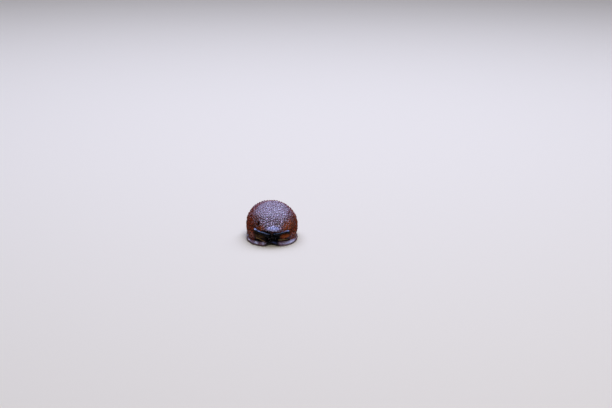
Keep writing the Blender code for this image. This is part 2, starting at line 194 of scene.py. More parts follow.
def face_relief(x, z):
    """How far the face lies behind the plain dome."""
    out = np.abs(x)
    hollow = CHEEK_RECESS * smooth((FACE_HALF_WIDTH - out) / CHEEK_BORDER)
    bulge = CHEEK_BULGE * bell(from_cheek(out, z))
    fold = FOLD_BULGE * bell((z - FOLD_HEIGHT) / FOLD_THICKNESS)
    fold = fold * smooth((FACE_HALF_WIDTH + FOLD_OVERLAP - out) / FOLD_FADE)
    from_mouth = z - MOUTH_HEIGHT + MOUTH_DROOP * x * x
    slit = MOUTH_SLIT[0] * bell(from_mouth / MOUTH_SLIT[1])
    lips = MOUTH_LIPS[0] * bell(from_mouth / MOUTH_LIPS[1])
    mouth = (slit - lips) * bell(x / MOUTH_HALF_WIDTH)
    head = HEAD_RECESS + HEAD_ROUNDING * (x / HEAD_HALF_WIDTH) ** 2 + mouth
    beside = smooth((out - HEAD_HALF_WIDTH + HEAD_EDGE) / (2.0 * HEAD_EDGE))
    skirt = SKIRT_REACH * smooth((SKIRT_HEIGHT - z) / SKIRT_SLOPE)
    skirt = skirt * smooth((FACE_HALF_WIDTH - out) / SKIRT_FADE)
    relief = head * (1.0 - beside) + (hollow - bulge - fold - skirt) * beside
    relief = relief + NECK_GROOVE * bell((out - HEAD_HALF_WIDTH) / NECK_GROOVE_WIDTH)
    return relief * smooth((FACE_TOP + FACE_TOP_FADE - z) / FACE_TOP_FADE)


def read_points(mesh):
    rows = np.empty(len(mesh.vertices) * 3, np.float32)
    mesh.vertices.foreach_get("co", rows)
    return rows.reshape(-1, 3).astype(float)


def read_normals(mesh):
    rows = np.empty(len(mesh.vertices) * 3, np.float32)
    mesh.vertex_normals.foreach_get("vector", rows)
    return rows.reshape(-1, 3).astype(float)


def write_points(mesh, rows):
    mesh.vertices.foreach_set("co", rows.astype(np.float32).ravel())
    mesh.update()


def mesh_of(name, bm):
    mesh = bpy.data.meshes.new(name)
    bm.to_mesh(mesh)
    bm.free()
    return mesh


# The dome: a ball whose points are pressed onto the flesh, lower where the mantle lies over it. The
# relief of the face sets in ahead of the core.
BALL_SUBDIVISIONS = 7
UNDER_MANTLE = 1.25
UNDER_MANTLE_FROM = 1.03
UNDER_MANTLE_OVER = 0.11
RELIEF_FROM = 2.0
RELIEF_OVER = 4.0
DOME_UNDERSIDE = 1.0

bm = bmesh.new()
bmesh.ops.create_icosphere(bm, subdivisions=BALL_SUBDIVISIONS, radius=1.0)
dome = mesh_of("dome", bm)
ways = unit(read_points(dome))
share, around = mantle_place(ways)
points = on_dome(ways, -UNDER_MANTLE * smooth((UNDER_MANTLE_FROM - share) / UNDER_MANTLE_OVER))
in_front = smooth((CORE[1] - RELIEF_FROM - points[:, 1]) / RELIEF_OVER)
points[:, 1] += in_front * face_relief(points[:, 0], points[:, 2])
points[:, 2] = np.maximum(points[:, 2], DOME_UNDERSIDE)
write_points(dome, points)

# The foot: outlines drawn up from the sole round a rolled margin. Each row of the section has the
# inset, and the shares of the height and of the slow wave.
FOOT_HALF = np.array((15.0, 21.5))
FOOT_TOP = 2.0
FOOT_SQUARENESS = 2.3
FOOT_STEPS = 448
WAVE_DEPTH = 0.16
WAVE_COUNT = 9
WAVE_START = 0.8
NOTCH_DEPTH = 3.4
NOTCH_HALF_WIDTH = 2.9
NOTCH_REACH = 6.0
ARCH_RISE = 1.0
ARCH_HALF_WIDTH = 3.2
ARCH_REACH = 2.4
FOOT_SECTION = np.array((
    (2.6, 0.0, 0.0),
    (1.3, 0.0, 0.0),
    (0.8, 0.03, 0.0),
    (0.42, 0.11, 0.0),
    (0.14, 0.27, 0.3),
    (0.02, 0.48, 0.6),
    (0.1, 0.7, 0.9),
    (0.38, 0.88, 1.0),
    (0.85, 0.98, 1.0),
    (1.5, 1.0, 0.2),
    (2.6, 1.0, 0.0),
))


def draw_ring(bm):
    """Draws one more ring of faces from the open rim, and gives its new points."""
    rim = [edge for edge in bm.edges if edge.is_boundary]
    drawn = bmesh.ops.extrude_edge_only(bm, edges=rim)["geom"]
    return [piece for piece in drawn if isinstance(piece, bmesh.types.BMVert)]


def close_up(bm):
    """Closes the open rim with a face and turns all faces outwards."""
    bmesh.ops.contextual_create(bm, geom=[edge for edge in bm.edges if edge.is_boundary])
    bmesh.ops.recalc_face_normals(bm, faces=bm.faces)


def signed_power(share, power):
    """A power that keeps the sign, which squares up a round outline."""
    return np.sign(share) * np.abs(share) ** power


bm = bmesh.new()
bmesh.ops.create_circle(bm, cap_ends=True, radius=1.0, segments=FOOT_STEPS)
for _ in FOOT_SECTION[1:]:
    bmesh.ops.translate(bm, vec=(0.0, 0.0, 1.0), verts=draw_ring(bm))
close_up(bm)
foot = mesh_of("foot", bm)
rings = read_points(foot)
angle = np.arctan2(rings[:, 1], rings[:, 0])
inset, height_share, wave_share = FOOT_SECTION[np.rint(rings[:, 2]).astype(int)].T
across = signed_power(np.cos(angle), 2.0 / FOOT_SQUARENESS)
along = signed_power(np.sin(angle), 2.0 / FOOT_SQUARENESS)
x = (FOOT_HALF[0] - inset) * across
y = (FOOT_HALF[1] - inset) * along
drawn_in = (along < 0.0) * bell(x / NOTCH_HALF_WIDTH) * (1.0 - inset / NOTCH_REACH)
arched = (along < 0.0) * bell(x / ARCH_HALF_WIDTH) * smooth(2.0 - 2.0 * inset / ARCH_REACH)
z = FOOT_TOP * height_share + WAVE_DEPTH * wave_share * np.sin(WAVE_COUNT * angle + WAVE_START)
write_points(foot, np.column_stack((x, y + NOTCH_DEPTH * drawn_in, z + ARCH_RISE * arched)))

# The tentacles: straight tubes of rings, bent along their routes. Each point of a route is how far
# out it is, how high, and how far ahead of the dome's face. The radii go with shares of the way,
# from 0 at the root to 1 at the middle of the knob.
UPPER_ROOT = (1.4, 5.4, -2.65)
UPPER_ROUTES = {
    "left": (UPPER_ROOT, (2.6, 6.45, -0.85), (4.7, 7.5, 0.35), (6.8, 7.95, 0.6), (8.7, 7.95, 0.5)),
    "right": (UPPER_ROOT, (2.6, 6.1, -0.85), (4.9, 7.2, 0.2), (7.2, 7.95, 0.5), (9.3, 8.7, 0.5)),
}
LOWER_ROUTE = ((1.2, 3.5, -3.6), (1.4, 3.5, -2.6), (1.7, 3.45, -1.7))
UPPER_RADII = ((0.0, 1.1), (0.3, 1.08), (0.66, 0.95), (0.82, 0.98), (0.93, 1.12), (1.0, 1.12))
LOWER_RADII = ((0.0, 0.55), (0.5, 0.52), (1.0, 0.7))
SIDES = (("left", 1.0), ("right", -1.0))
TUBE_SIDES = 20
TUBE_STEPS = 28
TIP_ANGLES = np.radians((0.0, 18.0, 36.0, 54.0, 72.0, 84.0))


def smooth_path(knots, steps):
    """Points along one smooth curve through the knots."""
    padded = np.vstack((2.0 * knots[0] - knots[1], knots, 2.0 * knots[-1] - knots[-2]))
    at = np.linspace(0.0, len(knots) - 1.0, steps + 1)
    first = np.minimum(at.astype(int), len(knots) - 2)
    t = (at - first)[:, None]
    a, b, c, d = (padded[first + i] for i in range(4))
    bend = (2.0 * a - 5.0 * b + 4.0 * c - d) * t**2 + (3.0 * b - a - 3.0 * c + d) * t**3
    return 0.5 * (2.0 * b + (c - a) * t + bend)


def tentacle_line(side, route):
    """The middle line of a tentacle, from its root in the head to the middle of its knob."""
    out, height, ahead = np.array(route).T
    knots = np.column_stack((side * out, face_front(out, height) - ahead, height))
    return smooth_path(knots, TUBE_STEPS)


def make_tentacle(name, side, route, radii):
    """A tube of rings round its line, with a round knob at its tip."""
    line = tentacle_line(side, route)
    radius = np.interp(np.linspace(0.0, 1.0, TUBE_STEPS + 1), *np.array(radii).T)
    tip_way = line[-1] - line[-2]
    tip_way = tip_way / np.linalg.norm(tip_way)
    centres = np.vstack((line[:-1], line[-1] + np.outer(radius[-1] * np.sin(TIP_ANGLES), tip_way)))
    radius = np.append(radius[:-1], radius[-1] * np.cos(TIP_ANGLES))
    tube = bmesh.new()
    bmesh.ops.create_circle(tube, cap_ends=True, radius=1.0, segments=TUBE_SIDES)
    for _ in centres[1:]:
        bmesh.ops.translate(tube, vec=(0.0, 0.0, 1.0), verts=draw_ring(tube))
    close_up(tube)
    mesh = mesh_of(name, tube)
    straight = read_points(mesh)
    ring = np.rint(straight[:, 2]).astype(int)
    ahead = unit(np.gradient(centres, axis=0))
    first = unit(np.cross(ahead, (0.0, 0.0, 1.0)))
    second = np.cross(ahead, first)
    spread = straight[:, :1] * first[ring] + straight[:, 1:2] * second[ring]
    write_points(mesh, centres[ring] + spread * radius[ring][:, None])
    return mesh


tentacles = []
for side_name, side in SIDES:
    route = UPPER_ROUTES[side_name]
    tentacles.append(make_tentacle(f"upper_{side_name}", side, route, UPPER_RADII))
    tentacles.append(make_tentacle(f"lower_{side_name}", side, LOWER_ROUTE, LOWER_RADII))

# The lumps fuse into one skin, which is then eased by a few smoothings.
SKIN_VOXEL = 0.226
SMOOTHINGS = 3


def add_object(name, data):
    """A new object in the scene, which stays at the origin unless it is moved."""
    made = bpy.data.objects.new(name, data)
    bpy.context.scene.collection.objects.link(made)
    return made


bm = bmesh.new()
for lump in (dome, foot, *tentacles):
    bm.from_mesh(lump)
lumps = add_object("lumps", mesh_of("lumps", bm))
remesh = lumps.modifiers.new("fuse", "REMESH")
remesh.mode = "VOXEL"
remesh.voxel_size = SKIN_VOXEL
remesh.adaptivity = 0.0
depsgraph = bpy.context.evaluated_depsgraph_get()
fused = bpy.data.meshes.new_from_object(lumps.evaluated_get(depsgraph))
bpy.data.objects.remove(lumps)
bm = bmesh.new()
bm.from_mesh(fused)
every_way = {"use_axis_x": True, "use_axis_y": True, "use_axis_z": True}
for _ in range(SMOOTHINGS):
    bmesh.ops.smooth_vert(bm, verts=bm.verts, factor=0.5, **every_way)
skin_mesh = mesh_of("skin", bm)

# The relief of the skin. Tubercles lie like cobbles, in rows from under the mantle to the tail. A
# sway, a wave or a wander is an unevenness: its strength, the size of its lumps and its seed.
TUBERCLES_AROUND = 60
TUBERCLES_ALONG = 18
TUBERCLE_SIZE = (1.5, 3.1)
TUBERCLE_JITTER = (0.4, 0.8)
TUBERCLE_GIRTH = 0.74
TUBERCLE_HEIGHT = 0.85
TUBERCLE_HEIGHT_VARIES = 0.25
TUBERCLE_SINK = 0.25
TUBERCLE_KEEL = 0.3
TUBERCLE_KEEL_WIDTH = 0.45
TUBERCLE_JOINT = 0.34
ROWS_FULL_FROM = 0.45
ROWS_SLOPE = math.radians(-30.0)
FURROW_SHIFT = 20.0
ROW_SWAY = (0.35, 7.0, 3.0)
ROW_WAVE = (0.2, 1.7, 59.0)
COLUMN_WAVE = (0.3, 1.5, 17.0)
BACK_FROM = 2.1
BACK_FADE = 1.1
MANTLE_CLEARANCE = 1.01
FRINGE_HEIGHT = 2.5
FRINGE_FRONT_RISE = 0.4
FRINGE_INNER = 0.86
FRINGE_FRONT_BREADTH = 0.1
FRINGE_LINE_PITCH = 0.8
FRINGE_LINE_WIDTH = 0.17
FRINGE_LINE_DEPTH = 0.11
FRINGE_LINE_FAINTEST = 0.35
FRINGE_LINE_CHANCES = 5
RIM_STEPS = 720
FRINGE_LINE_WANDER = (0.8, 3.0, 11.0)
FRINGE_SLACK = 0.4
FRINGE_SLACK_WAVE = (0.9, 3.4, 71.0)
CHEEK_COBBLE = (1.9, 0.8)
CHEEK_COBBLE_JITTER = (0.6, 0.6)
CHEEK_COBBLE_GIRTH = 0.8
CHEEK_COBBLE_HEIGHT = 0.2
CHEEK_COBBLE_SLOPE = 0.2
CHEEK_COBBLE_SWAY = 0.3
CHEEK_FIRST_CELL = 40.0
PLEAT_PITCH = 0.95
PLEAT_DEPTH = 0.2
PLEAT_WANDER = (1.2, 1.6, 83.0)
SKIN_WAVE = (0.04, 0.8, 23.0)
TENTACLE_REACH = 1.6
TAIL_PIT_PLACE = (0.0, 5.0)
TAIL_PIT_RADII = (1.4, 1.6)
TAIL_PIT_DEPTH = 1.5
SOLE_FLATTENED = 0.14
COBBLE_JOINT = 0.45
COBBLE_SHOULDER = 0.6

# Each cell of a grid of cobbles takes its three chances from this table.
CHANCE_SEED = 7
CHANCE_CELLS = 128
chances = np.random.default_rng(CHANCE_SEED).random((CHANCE_CELLS, CHANCE_CELLS, 3))


def cobbles(u, v, jitter, girth, wrap=CHANCE_CELLS):
    """Cobbles on a grid of unit cells in brick order, each round its own scattered middle.

    The columns of cells repeat after wrap of them, so that they can close up round the body.
    Gives how far a place is from the joint between two, a rounded height from 0 at the joint to 1,
    the cobble's own chance, and how far across the cobble the place is.
    """
    nearest = np.full(u.shape, 9.0)
    second = np.full(u.shape, 9.0)
    own = np.zeros(u.shape)
    across = np.zeros(u.shape)
    for step_u in (-1, 0, 1):
        column = np.floor(u).astype(int) + step_u
        shift = 0.5 * (column % 2)
        for step_v in (-1, 0, 1):
            row = np.floor(v - shift).astype(int) + step_v
            chance = chances[column % wrap % CHANCE_CELLS, row % CHANCE_CELLS]
            away_u = u - column - 0.5 - jitter[0] * (chance[..., 0] - 0.5)
            away_v = v - shift - row - 0.5 - jitter[1] * (chance[..., 1] - 0.5)
            away = np.hypot(away_u, away_v)
            second = np.minimum(second, np.maximum(nearest, away))
            own = np.where(away < nearest, chance[..., 2], own)
            across = np.where(away < nearest, away_u, across)
            nearest = np.minimum(nearest, away)
    joint = second - nearest
    rounded = np.sqrt(np.clip(1.0 - (nearest / girth) ** 2, 0.0, 1.0))
    return joint, rounded * smooth(joint / COBBLE_JOINT) ** COBBLE_SHOULDER, own, across


def uneven(points, strength, size, seed):
    """Soft random unevenness up to about that strength, with lumps of that size."""
    shifted = points / size + seed
    return strength * np.array([noise.noise(Vector(place)) for place in shifted])


points = read_points(skin_mesh)
normals = read_normals(skin_mesh)
x, y, z = points.T
out = np.abs(x)
ways = rays_to(points)
share, around = mantle_place(ways)

# Where the face, the back and the fringe are. In front the fringe is broader and higher. A term
# such as (-11 - y) / 2 sets in 11 mm ahead of the origin and is full 2 mm further on.
in_face = smooth((FACE_HALF_WIDTH + 0.6 - out) / 1.6) * smooth(FACE_TOP + 1.0 - z)
in_face = in_face * smooth((-11.0 - y) / 2.0)
on_back = smooth((z - BACK_FROM) / BACK_FADE) * (1.0 - in_face)
bare_back = on_back * smooth((share - MANTLE_CLEARANCE) / 0.07)
squared = np.abs(points[:, :2] / FOOT_HALF) ** FOOT_SQUARENESS
outline = squared.sum(axis=1) ** (1.0 / FOOT_SQUARENESS)
fringe_inner = FRINGE_INNER - FRINGE_FRONT_BREADTH * smooth((-14.0 - y) / 4.0)
fringe_height = FRINGE_HEIGHT + FRINGE_FRONT_RISE * smooth((-15.0 - y) / 3.0)
on_fringe = smooth((fringe_height - z) / 0.5) * smooth((outline - fringe_inner) / 0.06)

# The tubercles, which get lower towards the ends of the rows, and the place in their rows that the
# furrows of the material follow. The shift gives each tubercle furrows of its own.
turn_back = np.array(Matrix.Rotation(-ROWS_SLOPE, 3, "X"))
in_rows = ways @ turn_back.T
row_turn = np.arccos(np.clip(in_rows[:, 1], -1.0, 1.0))
row_around = np.arctan2(in_rows[:, 0], in_rows[:, 2])
sway = uneven(points, *ROW_SWAY)
u = (row_around / (2.0 * math.pi) + 0.5) * TUBERCLES_AROUND + uneven(points, *COLUMN_WAVE)
v = row_turn / math.pi * TUBERCLES_ALONG + sway + uneven(points, *ROW_WAVE)
joint, swell, own, across = cobbles(u, v, TUBERCLE_JITTER, TUBERCLE_GIRTH, TUBERCLES_AROUND)
full = np.minimum(np.sin(row_turn) / ROWS_FULL_FROM, 1.0)
keel = 1.0 - TUBERCLE_KEEL * smooth(np.abs(across) / TUBERCLE_KEEL_WIDTH)
own_height = TUBERCLE_HEIGHT * (1.0 - TUBERCLE_HEIGHT_VARIES + TUBERCLE_HEIGHT_VARIES * own)
tubercle = (own_height * full * keel * swell - TUBERCLE_SINK) * bare_back
groove = (1.0 - smooth(joint / TUBERCLE_JOINT)) * bare_back
girth_radius = TUBERCLES_AROUND * TUBERCLE_SIZE[0] / (2.0 * math.pi)
rows = np.column_stack((
    girth_radius * np.sin(row_around) + FURROW_SHIFT * own,
    girth_radius * np.cos(row_around),
    v * TUBERCLE_SIZE[1],
))

# The cross lines of the fringe, evenly spaced along its rim, and its slack waves.
fringe_angle = np.arctan2(
    signed_power(y / FOOT_HALF[1], FOOT_SQUARENESS / 2.0),
    signed_power(x / FOOT_HALF[0], FOOT_SQUARENESS / 2.0),
)
turns = np.linspace(-math.pi, math.pi, RIM_STEPS + 1)
rim_x = FOOT_HALF[0] * signed_power(np.cos(turns), 2.0 / FOOT_SQUARENESS)
rim_y = FOOT_HALF[1] * signed_power(np.sin(turns), 2.0 / FOOT_SQUARENESS)
rim_length = np.append(0.0, np.cumsum(np.hypot(np.diff(rim_x), np.diff(rim_y))))
along_rim = np.interp(fringe_angle, turns, rim_length) / FRINGE_LINE_PITCH
along_rim = along_rim + uneven(points, *FRINGE_LINE_WANDER)
line_chance = chances[np.floor(along_rim).astype(int) % CHANCE_CELLS, FRINGE_LINE_CHANCES, 0]
line_strength = FRINGE_LINE_FAINTEST + (1.0 - FRINGE_LINE_FAINTEST) * line_chance
fringe_line = bell(((along_rim % 1.0) - 0.5) / FRINGE_LINE_WIDTH)
fringe_line = fringe_line * line_strength * on_fringe * smooth((z - 0.15) / 0.3)
slack = FRINGE_SLACK * smooth(0.5 + uneven(points, *FRINGE_SLACK_WAVE))
slack = slack * on_fringe * smooth(z / 0.5)

# The pleats of the drawn-in head, the cobbled cheeks beside it, and the pit above the tail.
in_head = smooth((HEAD_HALF_WIDTH + 0.2 - out) / 0.5) * in_face
pleat = np.cos(2.0 * math.pi * x / PLEAT_PITCH + uneven(points, *PLEAT_WANDER))
pleat = pleat * smooth((z - MOUTH_HEIGHT) / 0.8) * in_head
plain_front = face_front(x, np.maximum(z, DOME_UNDERSIDE))
in_front_of_face = smooth((plain_front + 2.0 - y) / 1.2)
on_tentacle = np.zeros(len(points))
for side_name, side in SIDES:
    line = tentacle_line(side, UPPER_ROUTES[side_name])
    gap_to_line = np.min(np.linalg.norm(points[:, None, :] - line[None, ::2, :], axis=2), axis=1)
    on_tentacle = np.maximum(on_tentacle, smooth((TENTACLE_REACH - gap_to_line) / 0.3))
on_cheek = in_face * (1.0 - in_head) * smooth((z - 1.9) / 0.6) * (1.0 - on_tentacle)
u = x / CHEEK_COBBLE[0] + CHEEK_FIRST_CELL
v = (z + CHEEK_COBBLE_SLOPE * out) / CHEEK_COBBLE[1] + CHEEK_FIRST_CELL
v = v + CHEEK_COBBLE_SWAY * sway
cheek_swell = cobbles(u, v, CHEEK_COBBLE_JITTER, CHEEK_COBBLE_GIRTH)[1]
pit_across, pit_up = ((points[:, [0, 2]] - TAIL_PIT_PLACE) / TAIL_PIT_RADII).T
from_pit = np.hypot(pit_across, pit_up)
behind = smooth((y - 16.0) / 1.5)
in_pit = smooth((1.2 - from_pit) / 0.7) * behind
tubercle = tubercle * (1.0 - smooth(1.9 - from_pit) * behind)

raised = tubercle - FRINGE_LINE_DEPTH * fringe_line - slack - TAIL_PIT_DEPTH * in_pit
raised = raised + CHEEK_COBBLE_HEIGHT * cheek_swell * on_cheek
raised = raised + uneven(points, *SKIN_WAVE) * (1.0 - on_fringe)
points = points + normals * raised[:, None]
points[:, 1] -= PLEAT_DEPTH * pleat * (1.0 - in_front_of_face)
points[:, 2] = np.where(points[:, 2] < SOLE_FLATTENED, 0.0, points[:, 2])
write_points(skin_mesh, points * MM)
skin_mesh.shade_smooth()

# Which flesh a point belongs to, and its painted light and shade, read by the skin's material. The
# painted glints of the sky on the fringe's mucus have a place to the left of the middle, a half
# width and a strength.
FRINGE_GLINTS = (
    (11.6, 1.5, 0.86),
    (8.6, 2.4, 0.47),
    (-9.0, 0.8, 1.0),
    (-13.4, 0.6, 0.8),
    (-5.0, 0.7, 0.5),
)
CHEEK_SHADE_RING = 1.35
OCHRE_HEIGHT = 2.8
OCHRE_SLOPE = 0.45
OCHRE_MIDDLE = 6.2
OCHRE_HALF_LENGTH = 3.2
FRONT_GLEAM_PLACE = (1.3, 1.7)
THROAT_HEIGHT = 7.7
ROSY_GLINT_TOP = 7.5
ROSY_GLINT_FROM = 9.3
NOTCH_EDGE = 4.9


def store_masks(mesh, masks):
    """Keeps the masks on the mesh's points, where the Attribute nodes read them."""
    for mask_name, values in masks.items():
        attribute = mesh.attributes.new(mask_name, "FLOAT", "POINT")
        attribute.data.foreach_set("value", values.astype(np.float32))


on_left = x > 0.0
upward = normals[:, 2]
# Painted shade: the notch in the foot's front below the head is painted near black with the head.
in_notch = smooth((NOTCH_EDGE - out) / 2.4) * smooth((-12.0 - y) / 2.0) * smooth(8.0 - z)
beside_head = in_face * (1.0 - in_head)
almond = from_cheek(out, z)
ochre_rise = np.where(on_left, 0.0, OCHRE_SLOPE * (out - OCHRE_MIDDLE))
ochre = bell((z - OCHRE_HEIGHT - ochre_rise) / 0.3)
ochre = ochre * smooth((OCHRE_HALF_LENGTH - np.abs(out - OCHRE_MIDDLE)) / 1.2)
glints = sum(strength * bell((x - at) / width) for at, width, strength in FRINGE_GLINTS)
glints = np.clip(glints, 0.0, 1.0) * smooth((-8.0 - y) / 4.0) * smooth((upward + 0.2) / 0.6)
# Painted rosy glints: pale pink on some tubercle tops low on the front of the flanks.
painted_rosy_glint = smooth((out - ROSY_GLINT_FROM) / 1.5) * smooth((ROSY_GLINT_TOP - z) / 2.5)
painted_rosy_glint = painted_rosy_glint * smooth((-3.0 - y) / 6.0) * smooth((swell - 0.35) / 0.6)
painted_rosy_glint = painted_rosy_glint * smooth((own - np.where(on_left, 0.2, 0.0)) / 0.4)
front_gleam = bell((x - FRONT_GLEAM_PLACE[0]) / 1.2) * bell((z - FRONT_GLEAM_PLACE[1]) / 0.5)
# Painted highlights on the upper tentacles: their upward sides, more on the slug's left, and tips.
lit_side = smooth((upward - np.where(on_left, 0.15, 0.4)) / 0.35)
lit_side = lit_side * (0.75 + 0.2 * smooth((out - 4.0) / 4.0))
lit_tip = smooth((upward - 0.1) / 0.5) * smooth((out - np.where(on_left, 9.0, 8.9)) / 0.8)
# Painted sky sheen: a mauve on the upward-facing tops of the tubercles on the back.
painted_sky_sheen = smooth((upward - 0.45) / 0.4) * smooth(swell / 0.9) * (1.0 - in_pit)
masks = {
    "groove": np.maximum(groove, in_pit),
    "own_tone": 0.2 + 0.6 * (own - 0.5) * bare_back,
    "fringe_side": on_fringe,
    # Foot margin's pale lilac front: partly own colour, partly painted sky sheen; darker on slug's
    # right.
    "fringe_and_painted_sheen": on_fringe * smooth((-5.0 - y) / 10.0) * np.where(on_left, 0.9, 0.7),
    "painted_fringe_glint": on_fringe * glints,
    "fringe_line": fringe_line,
    # The face beside the head is painted dark brown: darker skin, and painted shade under the lip.
    "face": beside_head * (1.0 - on_fringe),
    # Painted light and shade: the slug's left cheek orange-brown in the light, its right one dim
    # olive.
    "lit_cheek": beside_head * smooth((1.2 - almond) / 0.6) * smooth((x - 3.8) / 2.6),
    "shaded_cheek": beside_head * bell(almond / 0.75) * (x < 0.0) * 0.8,
    # Painted shade in a ring round each cheek's bulge.
    "painted_shade_round_cheek": beside_head * bell((almond - CHEEK_SHADE_RING) / 0.25) * 0.8,
    "ochre": beside_head * ochre,
    "painted_rosy_glint": on_back * painted_rosy_glint * np.where(on_left, 0.75, 1.0),
    # The head painted near black: its dark skin, and painted shade in its recess and in the notch.
    "head": np.maximum(in_notch, in_head),
    # Painted highlights on the crests of the head's pleats.
    "pleat": np.clip(pleat, 0.0, 1.0) * 0.8,
    "front_gleam": front_gleam * smooth((-15.5 - y) / 1.5),
    "throat": in_head * bell(x / 1.8) * bell((z - THROAT_HEIGHT) / 0.8),
    "tentacle": on_tentacle,
    "tentacle_painted_highlight": on_tentacle * lit_side,
    "tentacle_tip_painted_highlight": on_tentacle * lit_tip,
    "painted_sky_sheen": bare_back * painted_sky_sheen * (0.3 + 0.3 * smooth((y - 4.0) / 7.0)),
    "sole": smooth((0.35 - z) / 0.3) * smooth((-0.5 - upward) / 0.3),
}
store_masks(skin_mesh, masks)
attribute = skin_mesh.attributes.new("rows", "FLOAT_VECTOR", "POINT")
attribute.data.foreach_set("vector", rows.astype(np.float32).ravel())
for lump in (dome, foot, fused, *tentacles):
    bpy.data.meshes.remove(lump)


# Wet slug skin: soft, deep-coloured flesh under a film of clear mucus. It looks satin between the
# highlights and nearly mirror-like in them, and glows a little where it is thin.
def hex_colour(text):
    """An sRGB hex value as the linear colour that a socket takes."""
    parts = [int(text[i : i + 2], 16) / 255.0 for i in (0, 2, 4)]
    return (*(p / 12.92 if p <= 0.04045 else ((p + 0.055) / 1.055) ** 2.4 for p in parts), 1.0)


def add_node(tree, kind, settings, sockets):
    """Adds a node with its settings. A socket takes a value, or another node's output to link."""
    made = tree.nodes.new(kind)
    for name, value in settings.items():
        setattr(made, name, value)
    for name, value in sockets.items():
        if isinstance(value, bpy.types.NodeSocket):
            tree.links.new(value, made.inputs[name])
        else:
            made.inputs[name].default_value = value
    return made


def read_masks(tree, names):
    """The outputs of nodes that read the masks of those names."""
    found = {}
    for name in names:
        reader = add_node(tree, "ShaderNodeAttribute", {"attribute_name": name}, {})
        found[name] = reader.outputs["Fac"]
    return found


# The sockets of a Mix node that mixes colours.
MIX_FACTOR = 0
MIX_A = 6
MIX_B = 7
MIX_RESULT = 2


def paint_over(tree, colour, layers):
    """A colour under further ones, each covering as much as its mask says."""
    for cover, shade in layers:
        sockets = {MIX_FACTOR: cover, MIX_A: colour, MIX_B: hex_colour(shade)}
        mixed = add_node(tree, "ShaderNodeMix", {"data_type": "RGBA"}, sockets)
        colour = mixed.outputs[MIX_RESULT]
    return colour


# Real pores are finer than the grain here, which is as coarse as it needs to be to show close up.
PATCH_SIZE = 5.0
SPECK_SIZE = 0.5
PORE_GRAIN = 0.22


def wet_flesh(name, grain_strength, grain_depth):
    """A new material, and what both wet skins share: broad patches, small specks and fine pores."""
    material = bpy.data.materials.new(name)
    material.use_nodes = True
    tree = material.node_tree
    place = add_node(tree, "ShaderNodeTexCoord", {}, {}).outputs["Object"]
    tones = []
    for size, detail in ((PATCH_SIZE, 3.0), (SPECK_SIZE, 4.0)):
        sockets = {"Vector": place, "Scale": 1.0 / (size * MM), "Detail": detail}
        tones.append(add_node(tree, "ShaderNodeTexNoise", {}, sockets).outputs["Fac"])
    sockets = {"Vector": place, "Scale": 1.0 / (PORE_GRAIN * MM)}
    pores = add_node(tree, "ShaderNodeTexVoronoi", {"feature": "SMOOTH_F1"}, sockets)
    sockets = {
        "Strength": grain_strength,
        "Distance": grain_depth * MM,
        "Height": pores.outputs["Distance"],
    }
    grain = add_node(tree, "ShaderNodeBump", {"invert": True}, sockets).outputs["Normal"]
    return material, *tones, grain


def set_values(shader, values):
    for socket, value in values.items():
        shader.inputs[socket].default_value = value


WRINKLE_SIZE = 0.45
WRINKLE_DEPTH = 0.12
FURROW_PITCH = 0.3
FURROW_LENGTH = 1.4
FURROW_DEPTH = 0.2

wet_skin, patches, specks, grain = wet_flesh("wet_slug_skin", 0.6, 0.07)
tree = wet_skin.node_tree
shader = tree.nodes["Principled BSDF"]
place = add_node(tree, "ShaderNodeTexCoord", {}, {}).outputs["Object"]
masked = read_masks(tree, masks)
few_specks = add_node(
    tree,
    "ShaderNodeMapRange",
    {},
    {"Value": specks, "From Min": 0.52, "From Max": 0.7, "To Max": 0.5},
).outputs["Result"]
# Many layers here are painted light or shade: sheens, glints, highlights, shaded face and cheeks.
layers = (
    (patches, "9e4417"),
    (masked["own_tone"], "5a220f"),
    (few_specks, "47190e"),
    (masked["groove"], "140604"),
    (masked["painted_sky_sheen"], "7d5f6e"),
    (masked["face"], "2c150d"),
    (masked["lit_cheek"], "a04c1a"),
    (masked["shaded_cheek"], "5c4526"),
    (masked["painted_shade_round_cheek"], "100707"),
    (masked["ochre"], "c49e60"),
    (masked["fringe_side"], "70402f"),
    (masked["fringe_and_painted_sheen"], "877082"),
    (masked["painted_fringe_glint"], "e4e2f6"),
    (masked["fringe_line"], "2c1c20"),
    (masked["painted_rosy_glint"], "a06a62"),
    (masked["head"], "0a0a0e"),
    (masked["front_gleam"], "46548a"),
    (masked["throat"], "6c2216"),
    (masked["pleat"], "64585e"),
    (masked["tentacle"], "0b0d15"),
    (masked["tentacle_painted_highlight"], "8199cc"),
    (masked["tentacle_tip_painted_highlight"], "c2cef2"),
    (masked["sole"], "b4a596"),
)
tree.links.new(paint_over(tree, hex_colour("8c2706"), layers), shader.inputs["Base Color"])

# Satin on the tubercles and duller in the grooves.
gloss = add_node(
    tree, "ShaderNodeMapRange", {}, {"Value": specks, "To Min": 0.24, "To Max": 0.46}
).outputs["Result"]
groove_gloss = add_node(
    tree, "ShaderNodeMapRange", {}, {"Value": masked["groove"], "To Max": 0.8}
).outputs["Result"]
gloss = add_node(
    tree, "ShaderNodeMath", {"operation": "MAXIMUM"}, {0: gloss, 1: groove_gloss}
).outputs["Value"]
tree.links.new(gloss, shader.inputs["Roughness"])

